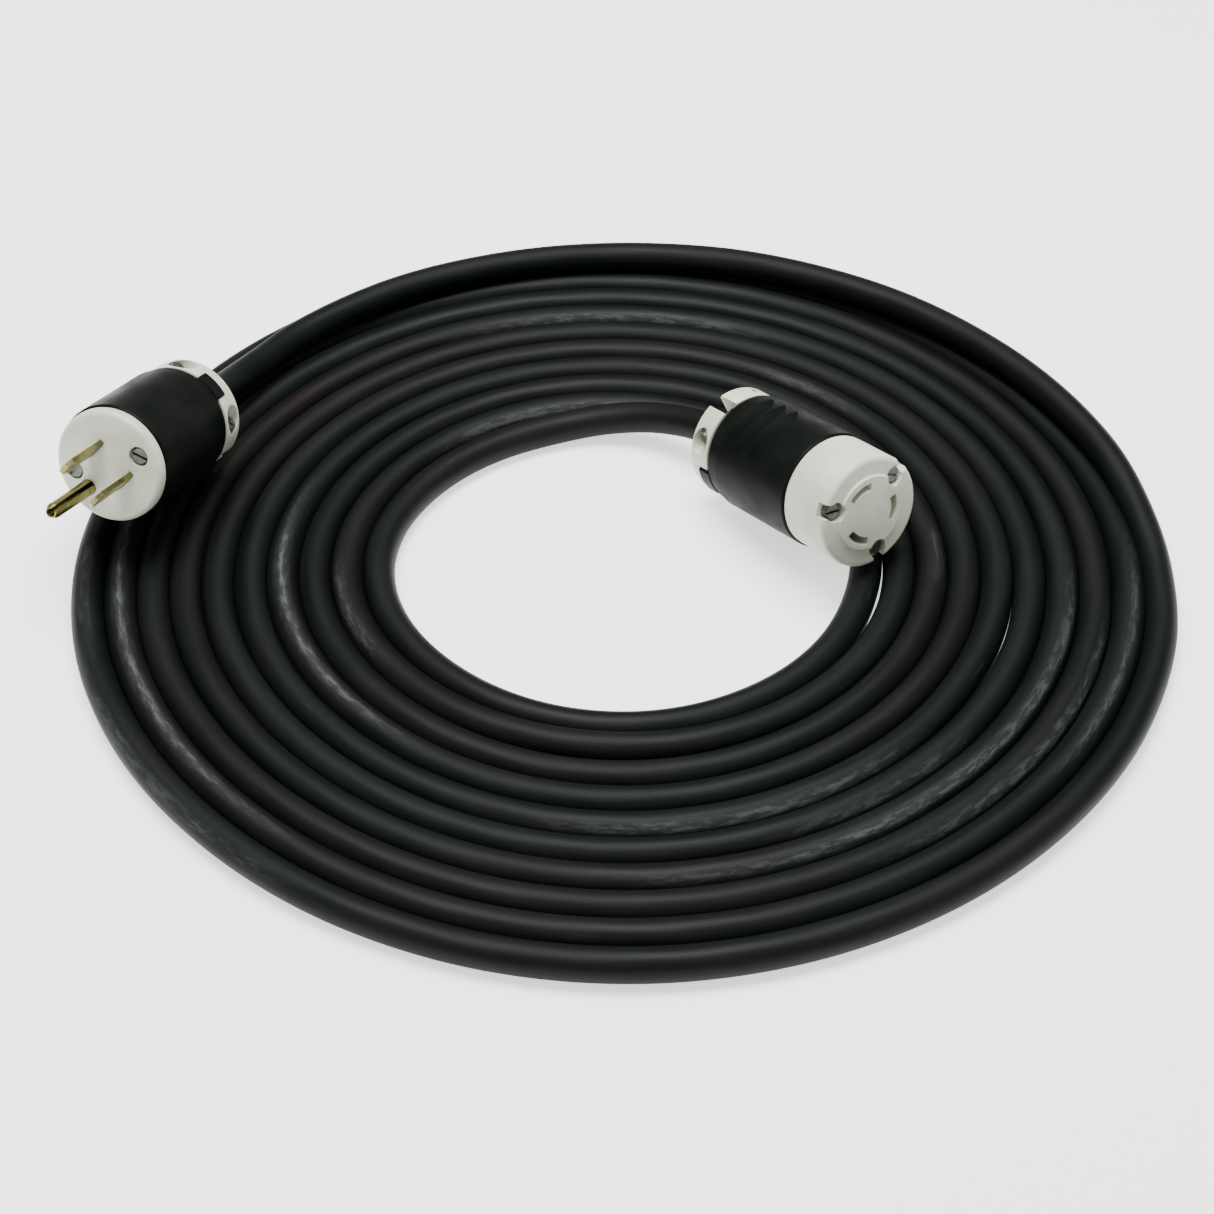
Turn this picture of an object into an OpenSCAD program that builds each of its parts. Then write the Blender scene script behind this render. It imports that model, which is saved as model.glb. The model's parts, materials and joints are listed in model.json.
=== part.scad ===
// Shore power cord: a rubber-jacketed cord wound in a flat spiral, with a straight-blade
// grounding plug on one end and a three-slot locking connector on the other.
// Millimetres, +Z up. The cord lies on the plane z = 0. Each fitting is built along its own
// axis, from the plane where the cord enters it (z = 0) to its front face.

/* [Cord] */
// Outside diameter of the jacket
cord_d = 9.6; // [8:0.1:13]
// Radius of the coil's outside edge
coil_outer_r = 166; // [120:1:220]
// Radius of the coil's inside edge
coil_inner_r = 72; // [50:1:90]

/* [Plug] */
// Length from the clamp's rear plane to the flat face
plug_len = 51.5; // [45:0.5:70]
// Diameter of the black shell
plug_d = 36; // [34:0.5:40]
// Distance between the two flat blades
blade_pitch = 12.7; // [12.5:0.1:13]
// Length of each flat blade in front of the face
blade_len = 18; // [15:0.1:18.2]
// Width of each flat blade
blade_w = 6.35; // [6:0.05:8]
// Thickness of each flat blade
blade_t = 1.5; // [1.4:0.1:1.65]
// Distance from the line of the blades to the grounding pin
ground_drop = 11.9; // [11.5:0.1:12.2]
// Diameter of the grounding pin
ground_d = 4.76; // [4.5:0.01:4.85]
// Length of the grounding pin in front of the face
ground_len = 21.2; // [18:0.1:21.4]

/* [Connector] */
// Length from the clamp's rear plane to the flat front
conn_len = 68; // [60:0.5:80]
// Diameter of the black shell
conn_d = 36.4; // [34:0.2:40]
// Diameter of the white front body
conn_front_d = 35.2; // [33:0.2:38]
// Radius of the circle that the locking slots lie on
slot_circle_r = 8.7; // [8:0.1:10]
// Width of a locking slot
slot_w = 2.2; // [2:0.1:3]
// Arc that a locking slot covers, in degrees
slot_arc = 52; // [40:1:70]

/* [Placement] */
// Plug: where the cord enters it
plug_at = [-132.8, 48.3, 26.8];
// Plug: compass turn of its axis from +X
plug_turn = -111.4; // [-180:0.1:180]
// Plug: rise of its axis above the floor
plug_tilt = 16; // [0:0.5:30]
// Plug: roll about its own axis
plug_roll = -38; // [-180:1:180]
// Connector: where the cord enters it
conn_at = [35.7, 47.3, 16.8];
// Connector: compass turn of its axis from +X
conn_turn = -54.8; // [-180:0.1:180]
// Connector: rise of its axis above the floor
conn_tilt = 12; // [0:0.5:30]
// Connector: roll about its own axis
conn_roll = 110; // [-180:1:180]

/* [Hidden] */
round_fn = 64;
small_fn = 32;
gap = 0.3;                     // assembly clearance between plastic parts
running = 0.05;                // radial clearance of a screw in the parts that it turns in
coil_at = [0.7, 0, 0];         // centre of the winding
cord_r = cord_d / 2;

black = [0.04, 0.045, 0.04];
white = [0.86, 0.87, 0.82];
rubber = [0.05, 0.055, 0.05];
brass = [0.72, 0.62, 0.34];
steel = [0.62, 0.63, 0.62];
green = [0.1, 0.4, 0.15];

// Clamp, the same on both fittings
clamp_len = 9;                 // along the axis
clamp_r = 17;
clamp_split = 2.4;             // each half stops this far from the middle plane
clamp_screw_x = 11.2;          // screws stand either side of the cord
clamp_screw_z = 4.8;
key_w = 8.6;                   // black key of the shell that holds a half from turning
key_len = 4;
screw_r = 1.6;
screw_head_r = 2.9;
screw_head_h = 2.2;
drive_w = 0.8;                 // screwdriver slot
drive_depth = 0.9;
clamp_head_y = 8.2;            // height of a clamp screw's seat above the middle plane
clamp_tip_y = -11.5;           // where a clamp screw ends in the other half

// Shell
shell_wall = 2.4;
shell_rear = clamp_len + gap;
shell_floor = 4;
cord_hole_r = cord_r + 0.4;
cord_end_z = shell_rear + shell_floor + 3;

// Plug
plug_face_d = 34.8;
plug_lip_z = plug_len - 3.6;   // front edge of the shell
blade_y = 1.5;                 // line of the blades above the middle of the face
ground_y = blade_y - ground_drop;
plug_screw_at = [[4.4, 10.6], [-6.6, -10]];
face_well_r = 3.1;
face_well_depth = 3;

// Connector
conn_lip_z = 48.8;
slot_angles = [0, 120, 240];
well_angles = [48, 168, 288];
well_at_r = 13.2;
well_r = 3.1;
well_depth = 4.2;
well_mouth = 4.4;              // width of a well's opening through the rim
nose_r = 11.6;
nose_h = 0.8;
grip_z = [17.5, 23.5, 29.5];   // finger ridges along the shell
grip_arc = 64;
grip_w = 2.4;
grip_h = 0.8;
contact_t = 0.8;               // spring contact behind a locking slot
contact_arc = 40;
front_rear_z = 49;              // plane where the front body meets the core

// Terminals, the same on both fittings
terminal_z = 27;               // rear face of the nylon body
plate_t = 1.2;
plate_w = 5.2;
plate_end_r = 15.1;
terminal_screw_r = 13;
ground_plate_in = 2.8;          // the plug's grounding terminal stands inward of its pin
ground_screw_r = 5.4;
terminal_rear_z = terminal_z - 3;
ground_shank_r = ground_d / 2 - 0.5; // grounding pin inside the nylon body
wire_r = 1.5;
wire_start_r = 2.3;

// Route of the cord from the plug over the coil, centre line, relative to the winding's centre
plug_route = [
    [-133.5, 48.3, 26.8], [-129, 61, 22.9], [-124, 74, 19.1], [-117, 88, 16], [-107, 103, 14.5],
    [-91, 119, 14.4], [-71, 132.5, 14.4], [-47, 142.5, 14.4], [-20, 149, 14.4], [8, 151, 14.4],
    [36, 148, 14.4], [63, 139, 14.4], [88, 125.5, 14.4], [110, 108, 14.4], [128, 87, 14.4],
    [142, 64, 13.6], [153, 40, 11.2], [160, 15, 8.2], [161, -8, 6]
];
// Route of the cord from the coil into the connector
conn_route = [
    [-36, 64, 5.2], [-22, 70.5, 6], [-6, 73, 7.6], [9, 70, 9.8], [21, 62.5, 12.4],
    [29, 54.5, 14.8], [35, 47.3, 16.8]
];

// ---- helpers ----

module at_plug() {
    translate(plug_at) rotate([0, 90 - plug_tilt, plug_turn]) rotate([0, 0, 90 + plug_roll]) children();
}

module at_conn() {
    translate(conn_at) rotate([0, 90 - conn_tilt, conn_turn]) rotate([0, 0, 90 + conn_roll]) children();
}

function unit(v) = v / norm(v);
function along(path, i) =
    unit(path[min(i + 1, len(path) - 1)] - path[max(i - 1, 0)]);

// A closed tube of round section swept along a path, one ring at each point
module tube(path, r, sides, up = [0, 0, 1]) {
    rings = [for (i = [0 : len(path) - 1])
        let (t = along(path, i), s = unit(cross(t, up)), u = cross(s, t))
        for (k = [0 : sides - 1])
            path[i] + r * (cos(360 * k / sides) * s + sin(360 * k / sides) * u)];
    walls = [for (i = [0 : len(path) - 2], k = [0 : sides - 1])
        let (a = i * sides + k, b = i * sides + (k + 1) % sides)
        for (f = [[a, b, b + sides], [a, b + sides, a + sides]]) f];
    ends = [
        [for (k = [sides - 1 : -1 : 0]) k],
        [for (k = [0 : sides - 1]) (len(path) - 1) * sides + k]
    ];
    polyhedron(rings, concat(walls, ends), convexity = 4);
}

// A half of a ring about Z on the +Y side, stopping short of the middle plane
module half_space(reach) {
    translate([-reach, clamp_split, -reach]) cube([2 * reach, reach, 3 * reach]);
}

// ---- parts common to both fittings ----

// Clamp half on the +Y side: a ring segment with a bore for the cord and a notch for the shell's key
module clamp_half(screw_heads) {
    difference() {
        intersection() {
            rotate_extrude($fn = round_fn)
                polygon([
                    [cord_r, 0], [clamp_r - 1.2, 0], [clamp_r, 1.2],
                    [clamp_r, clamp_len], [cord_r, clamp_len]
                ]);
            half_space(20);
        }
        translate([-key_w / 2 - gap, clamp_r - 3.4, clamp_len - key_len - gap])
            cube([key_w + 2 * gap, 10, key_len + 1]);
        for (side = [-1, 1])
            translate([side * clamp_screw_x, 0, clamp_screw_z]) rotate([-90, 0, 0]) {
                cylinder(h = 30, r = screw_r + running, $fn = small_fn);
                if (screw_heads)
                    translate([0, 0, clamp_head_y]) cylinder(h = 20, r = screw_head_r + 0.4, $fn = small_fn);
            }
    }
}

// Screw along +Z, its head's underside on z = 0
module screw(length) {
    difference() {
        union() {
            translate([0, 0, -length]) cylinder(h = length, r = screw_r, $fn = small_fn);
            cylinder(h = screw_head_h, r1 = screw_head_r, r2 = screw_head_r - 0.5, $fn = small_fn);
        }
        translate([-screw_head_r, -drive_w / 2, screw_head_h - drive_depth])
            cube([2 * screw_head_r, drive_w, drive_depth + 1]);
    }
}

module clamp_screw(side) {
    translate([side * clamp_screw_x, clamp_head_y + running, clamp_screw_z]) rotate([-90, 0, 0])
        rotate([0, 0, 30 * side]) screw(clamp_head_y - clamp_tip_y);
}

// The two keys that stand from the shell's rear face into the clamp's notches
module shell_keys(outer_r) {
    for (side = [0, 180])
        rotate([0, 0, side])
            intersection() {
                translate([-key_w / 2, clamp_r - 3.1, shell_rear - key_len])
                    cube([key_w, 10, key_len + 1]);
                translate([0, 0, shell_rear - key_len])
                    cylinder(h = key_len + 1, r = outer_r - 0.5, $fn = round_fn);
            }
}

// Hollow round shell with a floor at the rear, a lip at the front and a stepped rear end
module shell_cup(outer_r, lip_z, step_z) {
    rotate_extrude($fn = round_fn)
        polygon([
            [cord_hole_r, shell_rear], [outer_r - 1.8, shell_rear], [outer_r - 0.7, shell_rear + 1.2],
            [outer_r - 0.7, step_z], [outer_r, step_z + 0.8], [outer_r, lip_z - 0.6],
            [outer_r - 0.4, lip_z], [outer_r - shell_wall, lip_z],
            [outer_r - shell_wall, shell_rear + shell_floor], [cord_hole_r, shell_rear + shell_floor]
        ]);
}

// Insulated wire from the cord's end to a terminal, in one smooth S
module wire(angle, reach, end_z) {
    steps = 6;
    straight = 0.6;
    rise = end_z - cord_end_z - 2 * straight;
    across = [for (i = [0 : steps])
        let (f = i / steps)
        [wire_start_r + (reach - wire_start_r) * (1 - cos(180 * f)) / 2, cord_end_z + straight + rise * f]];
    line = concat([[wire_start_r, cord_end_z]], across, [[reach, end_z]]);
    tube([for (p = line) [p.x * cos(angle), p.x * sin(angle), p.y]], wire_r, 12,
        [-sin(angle), cos(angle), 0]);
}

module cord_end() {
    cylinder(h = cord_end_z, r = cord_r, $fn = small_fn);
}

// Plate that carries one terminal screw, beside its contact
module terminal_plate(angle, from_r, to_r = plate_end_r, screw_at = terminal_screw_r) {
    rotate([0, 0, angle])
        difference() {
            translate([from_r, -plate_w / 2, terminal_z - plate_t])
                cube([to_r - from_r, plate_w, plate_t]);
            translate([screw_at, 0, 0]) cylinder(h = 60, r = 1.4, $fn = small_fn);
        }
}

// Terminal screw along the fitting, its head to the rear
module terminal_screw(angle, screw_at = terminal_screw_r) {
    rotate([0, 0, angle]) translate([screw_at, 0, terminal_z - plate_t]) rotate([180, 0, 20])
        difference() {
            union() {
                cylinder(h = 1.6, r = 2, $fn = small_fn);
                translate([0, 0, -plate_t]) cylinder(h = plate_t, r = 1.4, $fn = small_fn);
            }
            translate([-3, -0.35, 1]) cube([6, 0.7, 1]);
        }
}

// ---- cord ----

module cord_coil() {
    color(rubber) translate(coil_at)
        rotate_extrude($fn = 96)
            translate([0, cord_r]) {
                for (x = [coil_inner_r + cord_r, coil_outer_r - cord_r])
                    translate([x, 0]) circle(r = cord_r, $fn = small_fn);
                translate([coil_inner_r + cord_r, -cord_r])
                    square([coil_outer_r - coil_inner_r - cord_d, cord_d]);
            }
}

module cord_lead_plug() {
    color(rubber) tube([for (p = plug_route) p + coil_at], cord_r, 12);
}

module cord_lead_connector() {
    color(rubber) tube([for (p = conn_route) p + coil_at], cord_r, 12);
}

// ---- plug ----

module blade_hole(x, y, z0) {
    translate([x - blade_t / 2 - 0.1, y - blade_w / 2 - 0.1, z0 - 1])
        cube([blade_t + 0.2, blade_w + 0.2, 60]);
}

module plug_shell() {
    color(black) at_plug() {
        shell_cup(plug_d / 2, plug_lip_z, 14);
        shell_keys(plug_d / 2);
    }
}

module plug_face() {
    face_r = plug_face_d / 2;
    core_r = plug_d / 2 - shell_wall - gap;
    color(white) at_plug()
        difference() {
            rotate_extrude($fn = round_fn)
                polygon(concat(
                    [[0, terminal_z], [core_r, terminal_z]],
                    [[core_r, plug_lip_z + 0.2], [face_r, plug_lip_z + 0.2]],
                    [for (a = [0 : 15 : 90])
                        [face_r - 1.6 + 1.6 * cos(a), plug_len - 1.6 + 1.6 * sin(a)]],
                    [[0, plug_len]]
                ));
            blade_hole(-blade_pitch / 2, blade_y, terminal_z);
            blade_hole(blade_pitch / 2, blade_y, terminal_z);
            translate([0, ground_y, terminal_z - 1])
                cylinder(h = 60, r = ground_shank_r + 0.1, $fn = small_fn);
            translate([0, ground_y, plug_len - 2])
                cylinder(h = 10, r = ground_d / 2 + 0.1, $fn = small_fn);
            for (p = plug_screw_at)
                translate([p.x, p.y, terminal_z - 1]) {
                    cylinder(h = 60, r = screw_r + running, $fn = small_fn);
                    translate([0, 0, plug_len - face_well_depth - terminal_z + 1])
                        cylinder(h = 20, r = face_well_r, $fn = small_fn);
                }
        }
}

module flat_blade(x) {
    tip = 1.6;
    color(brass) at_plug()
        translate([x, blade_y, 0])
            difference() {
                rotate([90, 0, 90]) translate([0, 0, -blade_t / 2])
                    linear_extrude(height = blade_t)
                        polygon([
                            [-blade_w / 2, terminal_rear_z], [blade_w / 2, terminal_rear_z],
                            [blade_w / 2, plug_len + blade_len - tip],
                            [blade_w / 2 - tip, plug_len + blade_len],
                            [-blade_w / 2 + tip, plug_len + blade_len],
                            [-blade_w / 2, plug_len + blade_len - tip]
                        ]);
                translate([-5, 0, plug_len + 11.6]) rotate([0, 90, 0])
                    cylinder(h = 10, r = 1.6, $fn = small_fn);
            }
}

module plug_blade_line() {
    flat_blade(-blade_pitch / 2);
}

module plug_blade_neutral() {
    flat_blade(blade_pitch / 2);
}

// Grounding pin: brass rolled into a tube with an open seam, taller than the blades
module plug_ground_pin() {
    seam = 1.3;
    wall = 1.1;
    seat = 0.1;
    r = ground_d / 2;
    color(brass) at_plug()
        translate([0, ground_y, 0])
            difference() {
                rotate_extrude($fn = round_fn)
                    polygon([
                        [r - wall, terminal_rear_z], [ground_shank_r, terminal_rear_z],
                        [ground_shank_r, plug_len + seat], [r, plug_len + seat],
                        [r, plug_len + ground_len - 1.6], [r - 0.7, plug_len + ground_len],
                        [r - wall, plug_len + ground_len]
                    ]);
                translate([-seam / 2, 0, 0]) cube([seam, 10, 100]);
            }
}

module plug_terminal_screws() {
    color(brass) at_plug() {
        for (angle = [0, 180]) terminal_screw(angle);
        terminal_screw(270, ground_screw_r);
    }
}

module plug_terminal_plates() {
    color(brass) at_plug() {
        for (angle = [0, 180]) terminal_plate(angle, (blade_pitch + blade_t) / 2);
        terminal_plate(270, ground_plate_in, -ground_y - ground_d / 2, ground_screw_r);
    }
}

module plug_face_screw(i) {
    color(steel) at_plug()
        translate([plug_screw_at[i].x, plug_screw_at[i].y, plug_len - face_well_depth + running])
            rotate([0, 0, 25 + 60 * i]) screw(17);
}

module plug_face_screw_a() {
    plug_face_screw(0);
}

module plug_face_screw_b() {
    plug_face_screw(1);
}

module plug_clamp_upper() {
    color(white) at_plug() clamp_half(true);
}

module plug_clamp_lower() {
    color(white) at_plug() rotate([0, 0, 180]) clamp_half(false);
}

module plug_clamp_screw_a() {
    color(steel) at_plug() clamp_screw(-1);
}

module plug_clamp_screw_b() {
    color(steel) at_plug() clamp_screw(1);
}

module plug_cord_end() {
    color(rubber) at_plug() cord_end();
}

module plug_wire_black() {
    color(black) at_plug() wire(180, 9.4, terminal_z - plate_t);
}

module plug_wire_white() {
    color(white) at_plug() wire(0, 9.4, terminal_z - plate_t);
}

module plug_wire_green() {
    color(green) at_plug() wire(270, -ground_y, terminal_rear_z);
}

// ---- connector ----

module conn_shell() {
    outer_r = conn_d / 2;
    color(black) at_conn() {
        shell_cup(outer_r, conn_lip_z, 14);
        shell_keys(outer_r);
        for (z = grip_z, side = [0, 180])
            rotate([0, 0, side - grip_arc / 2])
                rotate_extrude(angle = grip_arc, $fn = round_fn)
                    polygon([
                        [outer_r - 1, z - grip_w / 2], [outer_r, z - grip_w / 2],
                        [outer_r + grip_h, z - grip_w / 6], [outer_r + grip_h, z + grip_w / 6],
                        [outer_r, z + grip_w / 2], [outer_r - 1, z + grip_w / 2]
                    ]);
    }
}

// A ring segment about Z
module arc_block(inner, outer, arc, z0, z1) {
    rotate([0, 0, -arc / 2])
        rotate_extrude(angle = arc, $fn = round_fn)
            polygon([[inner, z0], [outer, z0], [outer, z1], [inner, z1]]);
}

// Front body: three curved slots, three screw wells open at the rim, a raised round centre
module conn_front() {
    face_r = conn_front_d / 2;
    slot_in = slot_circle_r - slot_w / 2;
    rim_z = conn_len - nose_h;
    edge = 1.6;
    color(white) at_conn()
        difference() {
            rotate_extrude($fn = round_fn)
                polygon(concat(
                    [[0, front_rear_z], [face_r, front_rear_z]],
                    [for (a = [0 : 15 : 90]) [face_r - edge + edge * cos(a), rim_z - edge + edge * sin(a)]],
                    [[nose_r + 0.4, rim_z], [nose_r, conn_len], [0, conn_len]]
                ));
            for (angle = slot_angles)
                rotate([0, 0, angle])
                    arc_block(slot_in, slot_in + slot_w, slot_arc, front_rear_z - 1, conn_len + 1);
            // the grounding slot turns inward at one end
            rotate([0, 0, slot_angles[1] + slot_arc / 2])
                translate([slot_in - 2.2, -slot_w, front_rear_z - 1]) cube([3, slot_w, 30]);
            for (angle = well_angles)
                rotate([0, 0, angle]) {
                    translate([well_at_r, 0, front_rear_z - 1])
                        cylinder(h = 60, r = screw_r + running, $fn = small_fn);
                    translate([well_at_r, 0, conn_len - well_depth])
                        cylinder(h = 20, r = well_r, $fn = small_fn);
                    translate([well_at_r, -well_mouth / 2, conn_len - well_depth])
                        cube([10, well_mouth, 20]);
                }
        }
}

// Core inside the shell, which holds the contacts behind the slots
module conn_core() {
    core_r = conn_d / 2 - shell_wall - gap;
    slot_in = slot_circle_r - slot_w / 2;
    slot_out = slot_in + slot_w;
    color(white) at_conn()
        difference() {
            translate([0, 0, terminal_z])
                cylinder(h = front_rear_z - terminal_z, r = core_r, $fn = round_fn);
            for (angle = slot_angles)
                rotate([0, 0, angle]) {
                    arc_block(slot_in, slot_out, slot_arc, terminal_z - 1, front_rear_z + 1);
                    arc_block(slot_out - 0.3, slot_out + contact_t + 0.1, contact_arc + 3,
                        terminal_z - 1, front_rear_z + 1);
                }
            for (angle = well_angles)
                rotate([0, 0, angle]) translate([well_at_r, 0, terminal_z - 1])
                    cylinder(h = 60, r = screw_r + running, $fn = small_fn);
        }
}

module contact(angle) {
    outside = slot_circle_r + slot_w / 2;
    color(brass) at_conn() rotate([0, 0, angle])
        arc_block(outside, outside + contact_t, contact_arc, terminal_rear_z, front_rear_z - gap);
}

module conn_contact_line() {
    contact(slot_angles[0]);
}

module conn_contact_neutral() {
    contact(slot_angles[2]);
}

module conn_contact_ground() {
    contact(slot_angles[1]);
}

module conn_terminal_screws() {
    color(brass) at_conn() for (angle = slot_angles) terminal_screw(angle);
}

module conn_terminal_plates() {
    color(brass) at_conn()
        for (angle = slot_angles)
            difference() {
                terminal_plate(angle, slot_circle_r);
                cylinder(h = 60, r = slot_circle_r + slot_w / 2 + contact_t, $fn = round_fn);
            }
}

module conn_face_screw(i) {
    color(steel) at_conn() rotate([0, 0, well_angles[i]])
        translate([well_at_r, 0, conn_len - well_depth + running]) rotate([0, 0, 15 + 50 * i]) screw(30);
}

module conn_face_screw_a() {
    conn_face_screw(0);
}

module conn_face_screw_b() {
    conn_face_screw(1);
}

module conn_face_screw_c() {
    conn_face_screw(2);
}

module conn_clamp_upper() {
    color(white) at_conn() clamp_half(true);
}

module conn_clamp_lower() {
    color(white) at_conn() rotate([0, 0, 180]) clamp_half(false);
}

module conn_clamp_screw_a() {
    color(steel) at_conn() clamp_screw(-1);
}

module conn_clamp_screw_b() {
    color(steel) at_conn() clamp_screw(1);
}

module conn_cord_end() {
    color(rubber) at_conn() cord_end();
}

module conn_wire_black() {
    color(black) at_conn() wire(slot_angles[0], 9.9, terminal_rear_z);
}

module conn_wire_white() {
    color(white) at_conn() wire(slot_angles[2], 9.9, terminal_rear_z);
}

module conn_wire_green() {
    color(green) at_conn() wire(slot_angles[1], 9.9, terminal_rear_z);
}

cord_coil();
cord_lead_plug();
cord_lead_connector();
plug_shell();
plug_face();
plug_blade_line();
plug_blade_neutral();
plug_ground_pin();
plug_terminal_screws();
plug_terminal_plates();
plug_face_screw_a();
plug_face_screw_b();
plug_clamp_upper();
plug_clamp_lower();
plug_clamp_screw_a();
plug_clamp_screw_b();
plug_cord_end();
plug_wire_black();
plug_wire_white();
plug_wire_green();
conn_shell();
conn_front();
conn_core();
conn_contact_line();
conn_contact_neutral();
conn_contact_ground();
conn_terminal_screws();
conn_terminal_plates();
conn_face_screw_a();
conn_face_screw_b();
conn_face_screw_c();
conn_clamp_upper();
conn_clamp_lower();
conn_clamp_screw_a();
conn_clamp_screw_b();
conn_cord_end();
conn_wire_black();
conn_wire_white();
conn_wire_green();
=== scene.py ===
# Looks of the shore power cord: one cord swept along its whole route, materials, light and camera.
import json
import math

import bpy
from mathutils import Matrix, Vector


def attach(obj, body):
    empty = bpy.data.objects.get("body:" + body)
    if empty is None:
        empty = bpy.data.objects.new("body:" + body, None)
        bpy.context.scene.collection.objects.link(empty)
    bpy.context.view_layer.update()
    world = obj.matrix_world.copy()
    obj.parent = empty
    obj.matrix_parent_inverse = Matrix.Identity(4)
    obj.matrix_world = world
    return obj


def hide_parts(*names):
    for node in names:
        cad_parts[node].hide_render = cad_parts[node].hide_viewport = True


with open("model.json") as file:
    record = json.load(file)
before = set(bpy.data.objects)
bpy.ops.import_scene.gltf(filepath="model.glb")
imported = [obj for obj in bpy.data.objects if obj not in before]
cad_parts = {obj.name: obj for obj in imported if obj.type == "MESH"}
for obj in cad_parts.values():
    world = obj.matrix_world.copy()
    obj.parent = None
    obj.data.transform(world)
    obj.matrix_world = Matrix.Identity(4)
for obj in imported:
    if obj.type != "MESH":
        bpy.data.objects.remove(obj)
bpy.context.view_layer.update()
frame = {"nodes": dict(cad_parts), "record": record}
ROOT = "cord_set"

# ---- the cord's facts, in metres and degrees, as part.scad has them ----
CORD_D = 0.0096
CORD_R = CORD_D / 2
JACKET_R = 0.00492            # drawn a little thicker, so that the turns meet as in the photograph
CENTRE = Vector((0.0007, 0.0, 0.0))
PLUG_AT = Vector((-0.1328, 0.0483, 0.0268))
PLUG_TURN, PLUG_TILT, PLUG_ROLL = -111.4, 16.0, -38.0
CONN_AT = Vector((0.0357, 0.0473, 0.0168))
CONN_TURN, CONN_TILT, CONN_ROLL = -54.8, 12.0, 110.0
CORD_INSIDE = 0.0163          # how far the cord runs into each fitting
RING_STEP = 0.003             # spacing of the rings along the cord
SIDES_ROUND = 20              # points round the cord
FINE_STEP = 0.0005            # spacing of the curve's own points, from which the rings are placed

# Winding: radius in mm of the first and of the tenth turn, to the half millimetre, at eight places
# a turn, clockwise from the right through the front, the left and the back
FIRST_AND_TENTH = [
    (162, 74), (159.5, 71.5), (159.5, 71.5), (158, 71.5),
    (160.5, 73.5), (160.5, 71), (157, 69), (153.5, 66.5),
]
PLACES = len(FIRST_AND_TENTH)
WOUND_TURNS = 10
KNOTS_PER_TURN = 24
WIND_FROM, WIND_TO = 0.035, 9.69      # turns, counted from the right
# Narrow gaps, seen at the right: turn, how far the cord stands back in mm, and width in turns
GAPS = [(9.05, 0.9, 0.03), (5.07, 0.35, 0.03)]
# Where one turn rides up on the next: turn, height in metres, and width in turns
RISE_AT, RISE_HEIGHT, RISE_WIDTH = 8.27, 0.0016, 0.1
UNEVEN = 0.00018                      # metres that the turns lie unevenly

# From the plug down to the outer turns: points from the winding's centre, in mm
PLUG_LEAD = [(-129, 61, 22.9), (-124, 74, 19.1), (-117, 88, 16.2)]
# Over the outer turns and down outside them: angle in degrees, radius and height in mm
LEAD_OVER = [
    (136, 149, 14.7), (127, 150, 14.5), (118, 151, 14.3), (108, 151.5, 14), (98, 152, 13.8),
    (87, 152.5, 13.7), (76, 153, 14), (66, 153, 14.3), (55, 153.5, 14.5), (45, 154, 14.5),
    (34, 155, 14.4), (24, 156.5, 13.7), (15, 158.5, 11.9), (6, 160, 8.5), (-2, 161, 5.9),
]
# From the inmost turn up into the connector: points from the winding's centre, in mm
CONN_LEAD = [(-19, 67.6, 5.3), (-5, 69.6, 7.0), (8.5, 67.3, 9.6), (19.6, 61.6, 12.4), (28.6, 54.2, 14.9)]


def heading(turn, tilt):
    a, b = math.radians(turn), math.radians(tilt)
    return Vector((math.cos(b) * math.cos(a), math.cos(b) * math.sin(a), math.sin(b)))


def bump_at(t, centre, width):
    return math.exp(-((t - centre) / width) ** 2)


def side_radius(i):
    first, last = FIRST_AND_TENTH[i % PLACES]
    return first + (last - first) * (i // PLACES) / (WOUND_TURNS - 1)


def winding_radius(t):
    """Radius in mm, t turns after the lead has reached the floor at the right."""
    k = math.floor(t * PLACES)
    f = t * PLACES - k
    a, b, c, d = (side_radius(k + j) for j in (-1, 0, 1, 2))
    r = 0.5 * (2 * b + (c - a) * f + (2 * a - 5 * b + 4 * c - d) * f * f + (3 * b - a - 3 * c + d) * f ** 3)
    for at, back, width in GAPS:
        r -= back * bump_at(t, at, width)
    return r


def winding_height(t):
    lift = RISE_HEIGHT * bump_at(t, RISE_AT, RISE_WIDTH)
    return CORD_R + lift + UNEVEN * (1 + math.sin(8.6 * t + 0.6) * math.cos(3.1 * t))


def winding_point(t):
    a, r = -2 * math.pi * t, winding_radius(t) / 1000
    return CENTRE + Vector((r * math.cos(a), r * math.sin(a), winding_height(t)))


def route_knots():
    plug_way, conn_way = heading(PLUG_TURN, PLUG_TILT), heading(CONN_TURN, CONN_TILT)
    knots = [PLUG_AT + plug_way * d for d in (CORD_INSIDE, CORD_INSIDE / 2, 0, -0.006)]
    knots += [CENTRE + Vector(p) / 1000 for p in PLUG_LEAD]
    for a, r, z in LEAD_OVER:
        a = math.radians(a)
        knots.append(CENTRE + Vector((r * math.cos(a), r * math.sin(a), z)) / 1000)
    count = math.floor((WIND_TO - WIND_FROM) * KNOTS_PER_TURN)
    knots += [winding_point(WIND_FROM + i / KNOTS_PER_TURN) for i in range(count + 1)]
    knots += [CENTRE + Vector(p) / 1000 for p in CONN_LEAD]
    knots += [CONN_AT + conn_way * d for d in (-0.004, 0, CORD_INSIDE / 2, CORD_INSIDE)]
    return knots


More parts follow.
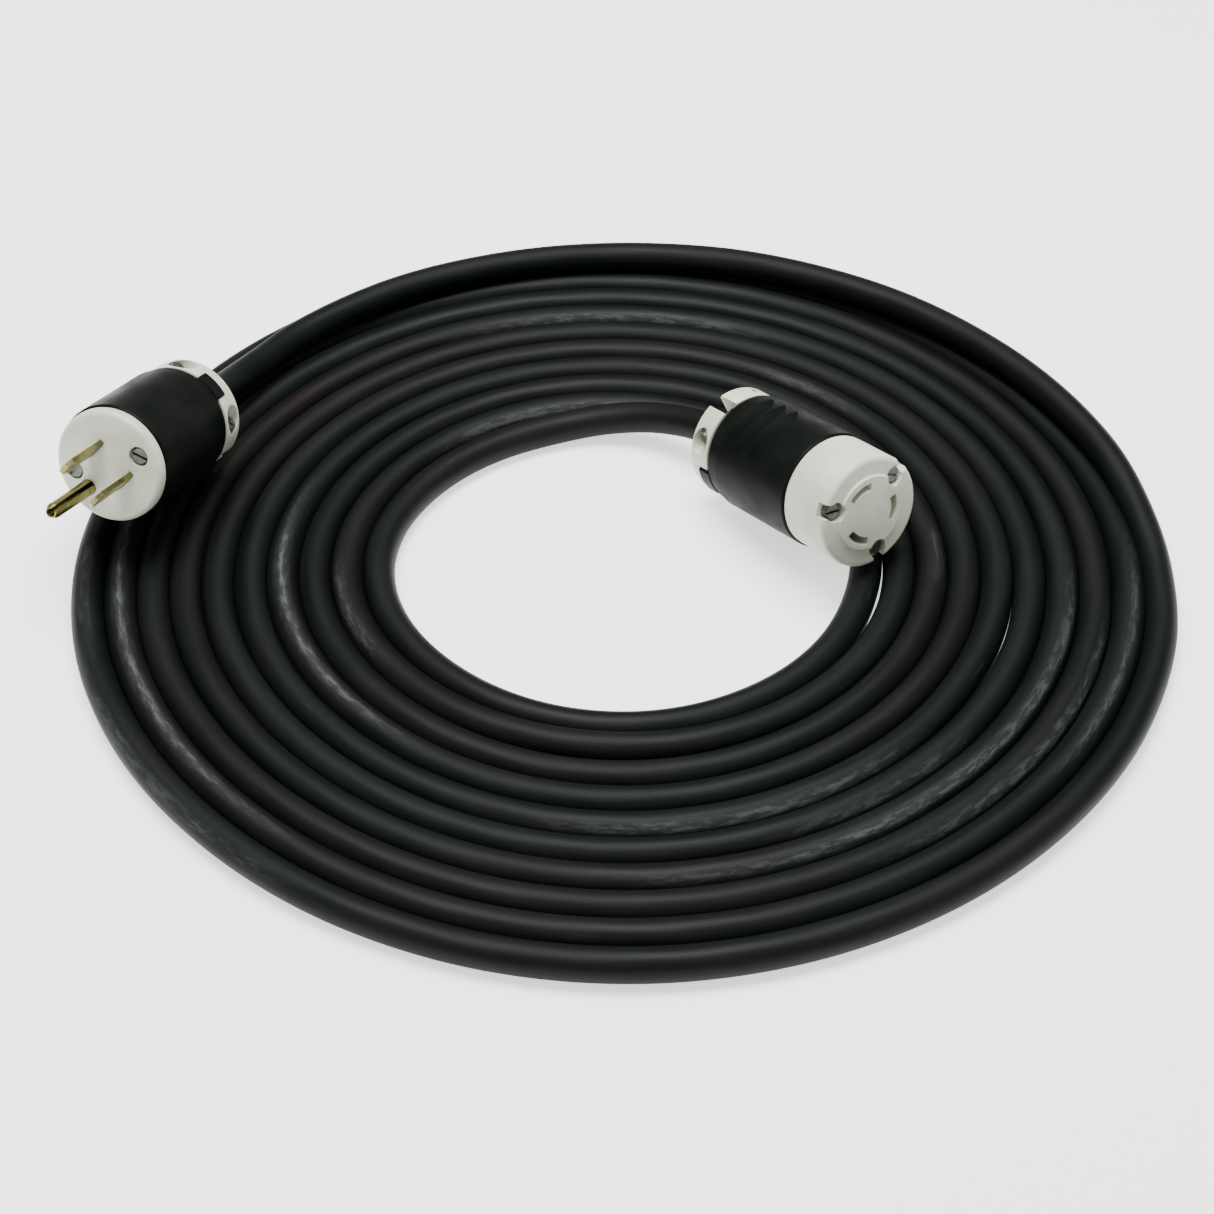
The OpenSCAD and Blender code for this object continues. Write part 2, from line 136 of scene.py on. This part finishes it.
def smooth_line(knots, step):
    """Points a step apart on the centripetal Catmull-Rom curve through the knots."""
    ends = [2 * knots[0] - knots[1], *knots, 2 * knots[-1] - knots[-2]]
    fine = []
    for a, b, c, d in zip(ends, ends[1:], ends[2:], ends[3:]):
        t1 = (b - a).length ** 0.5
        t2 = t1 + (c - b).length ** 0.5
        t3 = t2 + (d - c).length ** 0.5
        pieces = max(2, int((c - b).length / FINE_STEP))
        for i in range(pieces):
            t = t1 + (t2 - t1) * i / pieces
            a1 = a * ((t1 - t) / t1) + b * (t / t1)
            a2 = b * ((t2 - t) / (t2 - t1)) + c * ((t - t1) / (t2 - t1))
            a3 = c * ((t3 - t) / (t3 - t2)) + d * ((t - t2) / (t3 - t2))
            b1 = a1 * ((t2 - t) / t2) + a2 * (t / t2)
            b2 = a2 * ((t3 - t) / (t3 - t1)) + a3 * ((t - t1) / (t3 - t1))
            fine.append(b1 * ((t2 - t) / (t2 - t1)) + b2 * ((t - t1) / (t2 - t1)))
    fine.append(knots[-1].copy())
    at = [0.0]
    for p, q in zip(fine, fine[1:]):
        at.append(at[-1] + (q - p).length)
    total = at[-1]
    count = round(total / step)
    line, j = [], 0
    for i in range(count + 1):
        s = total * i / count
        while j < len(at) - 2 and at[j + 1] < s:
            j += 1
        f = (s - at[j]) / max(at[j + 1] - at[j], 1e-9)
        point = fine[j].lerp(fine[j + 1], min(max(f, 0), 1))
        point.z = max(point.z, JACKET_R)
        line.append(point)
    return line, total


# ---- camera ----
camera_data = bpy.data.cameras.new("camera")
camera = bpy.data.objects.new("camera", camera_data)
bpy.context.scene.collection.objects.link(camera)
AIM = CENTRE + Vector((-0.0045, -0.0137, 0))
CAMERA_DISTANCE, CAMERA_ELEVATION = 0.811, 41.39
camera_data.sensor_width = 36
camera_data.lens = 80.1
camera_data.clip_start = 0.01
rise = math.radians(CAMERA_ELEVATION)
camera.location = AIM + CAMERA_DISTANCE * Vector((0, -math.cos(rise), math.sin(rise)))
camera.rotation_euler = (math.pi / 2 - rise, 0, 0)
bpy.context.scene.camera = camera

# ---- the cord ----
# Painted highlight streaks, lighter lines painted along the cord's upper side where the light falls: turn
# reached, half length in turns, strength, and place round the cord in degrees, with 90 on top and more
# towards the outside of the coil
PAINTED_HIGHLIGHT_STREAKS = [
    (1.45, 0.08, 0.9, 90), (6.45, 0.08, 0.95, 90), (8.45, 0.04, 0.6, 120),
    (3.1, 0.08, 0.85, 120), (2.1, 0.06, 0.8, 135), (5.2, 0.07, 0.95, 135),
    (3.75, 0.06, 0.75, 45), (8.7, 0.07, 0.8, 45), (0.4, 0.05, 0.6, 135),
    (4.15, 0.04, 0.6, 135), (1.05, 0.05, 0.5, 110), (5.85, 0.03, 0.45, 60),
    (7.0, 0.02, 0.4, 110), (0.5, 0.04, 0.4, 100), (3.2, 0.05, 0.5, 130),
]
PAINTED_HIGHLIGHT_WIDTH = math.radians(14)


def turns_along(line):
    """How many turns round the winding each point of the line has come, 0 at the right."""
    turns, last = [], None
    for p in line:
        place = (-math.atan2(p.y, p.x - CENTRE.x) / (2 * math.pi)) % 1
        if last is None:
            count = place - 1
        else:
            count += (place - last + 0.5) % 1 - 0.5
        last = place
        turns.append(count)
    return turns


def make_cord():
    line, total = smooth_line(route_knots(), RING_STEP)
    turns = turns_along(line)
    n = len(line)
    up = Vector((0, 0, 1))
    verts, faces, along, painted_highlight = [], [], [], []
    for i, p in enumerate(line):
        t = (line[min(i + 1, n - 1)] - line[max(i - 1, 0)]).normalized()
        side = t.cross(up).normalized()
        lift = side.cross(t)
        # painted highlight: strength of the light streaks painted on the cord's upper side, near each
        # listed turn
        painted_highlight_streaks = [
            (strength * math.exp(-((turns[i] - at) / half) ** 4), math.radians(place))
            for at, half, strength, place in PAINTED_HIGHLIGHT_STREAKS if abs(turns[i] - at) < 2 * half
        ]
        for j in range(SIDES_ROUND):
            a = 2 * math.pi * j / SIDES_ROUND
            c, s = math.cos(a), math.sin(a)
            verts.append(p + (side * c + lift * s) * JACKET_R)
            along.append((total * i / (n - 1), CORD_R * c, CORD_R * s))
            painted_highlight.append(min(1.0, sum(k * math.exp(-((a - b) / PAINTED_HIGHLIGHT_WIDTH) ** 2) for k, b in painted_highlight_streaks)))
    m = SIDES_ROUND
    for i in range(n - 1):
        for j in range(m):
            k = (j + 1) % m
            faces.append((i * m + j, i * m + k, (i + 1) * m + k, (i + 1) * m + j))
    faces.append(tuple(range(m))[::-1])
    faces.append(tuple((n - 1) * m + j for j in range(m)))
    mesh = bpy.data.meshes.new("power_cord")
    mesh.from_pydata(verts, [], faces)
    mesh.attributes.new("cord_place", "FLOAT_VECTOR", "POINT").data.foreach_set(
        "vector", [x for v in along for x in v])
    mesh.attributes.new("cord_painted_highlight", "FLOAT", "POINT").data.foreach_set("value", painted_highlight)
    mesh.polygons.foreach_set("use_smooth", [True] * (len(faces) - 2) + [False, False])
    mesh.update()
    piece = bpy.data.objects.new("power_cord", mesh)
    bpy.context.scene.collection.objects.link(piece)
    return piece, line, total


cord, cord_line, cord_length = make_cord()
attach(cord, ROOT)
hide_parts("cord_coil", "cord_lead_plug", "cord_lead_connector", "plug_cord_end", "conn_cord_end")


# ---- materials ----
class Nodes:
    """A material's node tree, with short calls for the nodes used here."""

    def __init__(self, name, **sockets):
        self.material = bpy.data.materials.new(name)
        self.material.use_nodes = True
        self.tree = self.material.node_tree
        self.shader = self.tree.nodes["Principled BSDF"]
        for key, value in sockets.items():
            self.shader.inputs[key.replace("_", " ")].default_value = value

    def node(self, kind, links=None, **values):
        made = self.tree.nodes.new(kind)
        for key, value in values.items():
            setattr(made, key, value)
        for key, value in (links or {}).items():
            self.put(made.inputs[key], value)
        return made

    def put(self, socket, value):
        if isinstance(value, bpy.types.NodeSocket):
            self.tree.links.new(value, socket)
        else:
            socket.default_value = value

    def math(self, operation, a, b=0.0, c=0.0, clamp=False):
        made = self.tree.nodes.new("ShaderNodeMath")
        made.operation, made.use_clamp = operation, clamp
        for socket, value in zip(made.inputs, (a, b, c)):
            self.put(socket, value)
        return made.outputs[0]

    def stretch(self, vector, scale):
        return self.node("ShaderNodeMapping", {"Vector": vector, "Scale": scale}).outputs[0]

    def noise(self, vector, scale, detail=2.0, roughness=0.5):
        return self.node("ShaderNodeTexNoise", {
            "Vector": vector, "Scale": scale, "Detail": detail, "Roughness": roughness}).outputs[0]

    def ramp(self, value, low, high, to_low=0.0, to_high=1.0):
        return self.node("ShaderNodeMapRange", {
            "Value": value, "From Min": low, "From Max": high, "To Min": to_low, "To Max": to_high},
            clamp=True, interpolation_type="SMOOTHSTEP").outputs[0]

    def mix(self, factor, a, b):
        made = self.node("ShaderNodeMix", data_type="RGBA")
        self.put(made.inputs[0], factor)
        self.put(made.inputs[6], a)
        self.put(made.inputs[7], b)
        return made.outputs[2]

    def bump(self, heights, soft_edge=0.0):
        """Bumps one on another. heights holds (height, distance in metres, strength)."""
        normal = None
        if soft_edge:
            normal = self.node("ShaderNodeBevel", {"Radius": soft_edge}, samples=6).outputs[0]
        for height, distance, strength in heights:
            links = {"Height": height, "Distance": distance, "Strength": strength}
            if normal is not None:
                links["Normal"] = normal
            normal = self.node("ShaderNodeBump", links).outputs[0]
        self.put(self.shader.inputs["Normal"], normal)

    def place(self):
        return self.node("ShaderNodeTexCoord").outputs["Object"]

    def colour(self, value):
        self.put(self.shader.inputs["Base Color"], value)

    def rough(self, value):
        self.put(self.shader.inputs["Roughness"], value)


def rgb(r, g, b):
    return (r, g, b, 1.0)


CONDUCTORS = 3
LAY_LENGTH = 0.03              # metres of cord between one ripple and the next


def cord_material():
    m = Nodes("jacket_rubber", IOR=1.22, Specular_IOR_Level=0.5)
    place = m.node("ShaderNodeAttribute", attribute_name="cord_place").outputs["Vector"]
    # painted highlight: per-point strength of the light streaks painted along the cord's top
    painted_highlight = m.node("ShaderNodeAttribute", attribute_name="cord_painted_highlight").outputs["Fac"]
    grain = m.noise(place, 2600, 3, 0.6)
    patches = m.noise(m.stretch(place, (14, 160, 160)), 1.0, 3, 0.55)
    tint = m.ramp(m.noise(m.stretch(place, (5, 25, 25)), 1.0, 2), 0.45, 0.62)
    drawn = m.noise(m.stretch(place, (35, 900, 900)), 1.0, 3, 0.6)
    # the three conductors' lay shows as a slow ripple that winds round the jacket
    parts = m.node("ShaderNodeSeparateXYZ", {"Vector": place}).outputs
    angle = m.math("ARCTAN2", parts[2], parts[1])
    along = m.math("MULTIPLY", parts[0], 2 * math.pi / LAY_LENGTH)
    lay = m.math("SINE", m.math("ADD", along, m.math("MULTIPLY", angle, CONDUCTORS)))
    broken = m.ramp(m.noise(m.stretch(place, (150, 700, 700)), 1.0, 4, 0.75), 0.45, 0.6)
    # painted highlight streaks, broken up along their length
    painted_highlight_streaks = m.math("MULTIPLY", painted_highlight, m.math("ADD", m.math("MULTIPLY", broken, 0.65), 0.35))
    scuffs = m.ramp(m.noise(m.stretch(place, (60, 420, 420)), 1.0, 4, 0.7), 0.62, 0.8, 0.0, 0.35)
    base = m.mix(tint, rgb(0.0018, 0.0040, 0.0036), rgb(0.0050, 0.0037, 0.0031))
    base = m.mix(m.ramp(patches, 0.35, 0.7), base, rgb(0.0048, 0.0064, 0.0058))
    base = m.mix(scuffs, base, rgb(0.025, 0.027, 0.025))
    # painted highlight: the streaks lighten the jacket to a pale grey along its top
    m.colour(m.mix(painted_highlight_streaks, base, rgb(0.085, 0.092, 0.088)))
    rough = m.ramp(patches, 0.3, 0.75, 0.46, 0.58)
    rough = m.math("ADD", rough, m.math("MULTIPLY", scuffs, 0.3))
    m.rough(m.math("ADD", rough, m.math("MULTIPLY", painted_highlight_streaks, 0.12), clamp=True))
    m.bump([(lay, 0.00006, 0.5), (drawn, 0.00008, 0.35), (grain, 0.00004, 0.4)])
    return m.material


def shell_material():
    m = Nodes("shell_nylon_black", IOR=1.13, Specular_IOR_Level=0.5)
    place = m.place()
    grain = m.noise(place, 2400, 2, 0.6)
    flow = m.noise(place, 70, 3)
    smears = m.noise(m.stretch(place, (160, 60, 160)), 1.0, 3, 0.6)
    m.colour(m.mix(m.ramp(flow, 0.3, 0.7), rgb(0.0026, 0.004, 0.003), rgb(0.006, 0.0074, 0.006)))
    m.rough(m.ramp(smears, 0.3, 0.75, 0.34, 0.5))
    m.bump([(flow, 0.0002, 0.12), (grain, 0.00004, 0.4)], 0.0004)
    return m.material


def nylon_material():
    m = Nodes("nylon_white", Subsurface_Weight=0.12, Subsurface_Scale=0.002)
    place = m.place()
    grain = m.noise(place, 2200, 3, 0.6)
    flow = m.noise(place, 55, 3)
    dust = m.ramp(m.noise(place, 420, 4, 0.65), 0.6, 0.8, 0.0, 0.3)
    base = m.mix(m.ramp(flow, 0.3, 0.7), rgb(0.55, 0.58, 0.455), rgb(0.73, 0.75, 0.63))
    m.colour(m.mix(dust, base, rgb(0.47, 0.48, 0.38)))
    m.rough(m.ramp(flow, 0.3, 0.7, 0.36, 0.5))
    m.bump([(flow, 0.0002, 0.15), (grain, 0.00004, 0.45)], 0.0005)
    return m.material


def brass_material():
    m = Nodes("brass_rolled", Metallic=1.0)
    place = m.place()
    drawn = m.noise(m.stretch(place, (260, 90, 700)), 1.0, 4, 0.6)
    tarnish = m.noise(place, 160, 4, 0.6)
    base = m.mix(m.ramp(tarnish, 0.35, 0.7), rgb(0.33, 0.3, 0.1), rgb(0.15, 0.14, 0.05))
    m.colour(base)
    m.rough(m.ramp(drawn, 0.3, 0.7, 0.28, 0.46))
    m.bump([(drawn, 0.00006, 0.4), (m.noise(place, 1800, 2), 0.00002, 0.4)], 0.0002)
    return m.material


def steel_material():
    m = Nodes("screw_zinc", Metallic=1.0)
    place = m.place()
    turned = m.noise(place, 900, 4, 0.6)
    m.colour(m.mix(m.ramp(turned, 0.3, 0.7), rgb(0.09, 0.095, 0.08), rgb(0.2, 0.205, 0.18)))
    m.rough(m.ramp(turned, 0.3, 0.7, 0.3, 0.48))
    m.bump([(turned, 0.00004, 0.5)], 0.0002)
    return m.material


def wire_material(name, dark, light):
    m = Nodes(name)
    place = m.place()
    drawn = m.noise(place, 300, 3)
    m.colour(m.mix(drawn, dark, light))
    m.rough(m.ramp(drawn, 0.3, 0.7, 0.35, 0.5))
    m.bump([(m.noise(place, 1500, 2), 0.00003, 0.4)])
    return m.material


RUBBER = cord_material()
MATERIALS = {
    "shell_black": shell_material(),
    "nylon_white": nylon_material(),
    "brass": brass_material(),
    "screw_steel": steel_material(),
    "wire_black": wire_material("insulation_black", rgb(0.012, 0.012, 0.012), rgb(0.025, 0.025, 0.025)),
    "wire_white": wire_material("insulation_white", rgb(0.66, 0.66, 0.62), rgb(0.78, 0.78, 0.75)),
    "wire_green": wire_material("insulation_green", rgb(0.02, 0.16, 0.045), rgb(0.035, 0.24, 0.07)),
    "cord_rubber": RUBBER,
}
cord.data.materials.append(RUBBER)
for part in frame["record"]["subparts"]:
    node = frame["nodes"][part["node"]]
    if not node.data.materials:
        node.data.materials.append(None)
    for i in range(len(node.data.materials)):
        node.data.materials[i] = MATERIALS[part["material_slot"]]

# ---- floor and light ----
FLOOR_HALF = 6
floor_mesh = bpy.data.meshes.new("floor")
floor_corners = [(x * FLOOR_HALF, y * FLOOR_HALF, 0) for x, y in ((-1, -1), (1, -1), (1, 1), (-1, 1))]
floor_mesh.from_pydata(floor_corners, [], [(0, 1, 2, 3)])
floor = bpy.data.objects.new("floor", floor_mesh)
bpy.context.scene.collection.objects.link(floor)
floor_look = Nodes("floor_white", Roughness=0.9, Emission_Color=(1, 1, 1, 1), Emission_Strength=1.2)
floor_look.colour(rgb(0.93, 0.93, 0.93))
floor_mesh.materials.append(floor_look.material)

world = bpy.data.worlds.new("studio")
bpy.context.scene.world = world
world.use_nodes = True
sky = world.node_tree.nodes
sky_links = world.node_tree.links
spread = sky.new("ShaderNodeSeparateXYZ")
sky_links.new(sky.new("ShaderNodeTexCoord").outputs["Generated"], spread.inputs[0])
fade = sky.new("ShaderNodeMapRange")
fade.interpolation_type = "SMOOTHSTEP"
sky_links.new(spread.outputs[2], fade.inputs["Value"])
for key, value in {"From Min": 0.15, "From Max": 0.95, "To Min": 0.16, "To Max": 0.85}.items():
    fade.inputs[key].default_value = value
sky_links.new(fade.outputs[0], sky["Background"].inputs["Strength"])
sky["Background"].inputs["Color"].default_value = (1, 1, 1, 1)


def soft_light(name, at, aim, size, watts):
    data = bpy.data.lights.new(name, "AREA")
    data.shape, data.size, data.size_y, data.energy = "RECTANGLE", size[0], size[1], watts
    lamp = bpy.data.objects.new(name, data)
    bpy.context.scene.collection.objects.link(lamp)
    lamp.location = at
    lamp.rotation_euler = (Vector(aim) - Vector(at)).to_track_quat("-Z", "Y").to_euler()


soft_light("softbox_top", (-0.05, 0.12, 1.2), (0, 0, 0), (0.9, 0.55), 30)
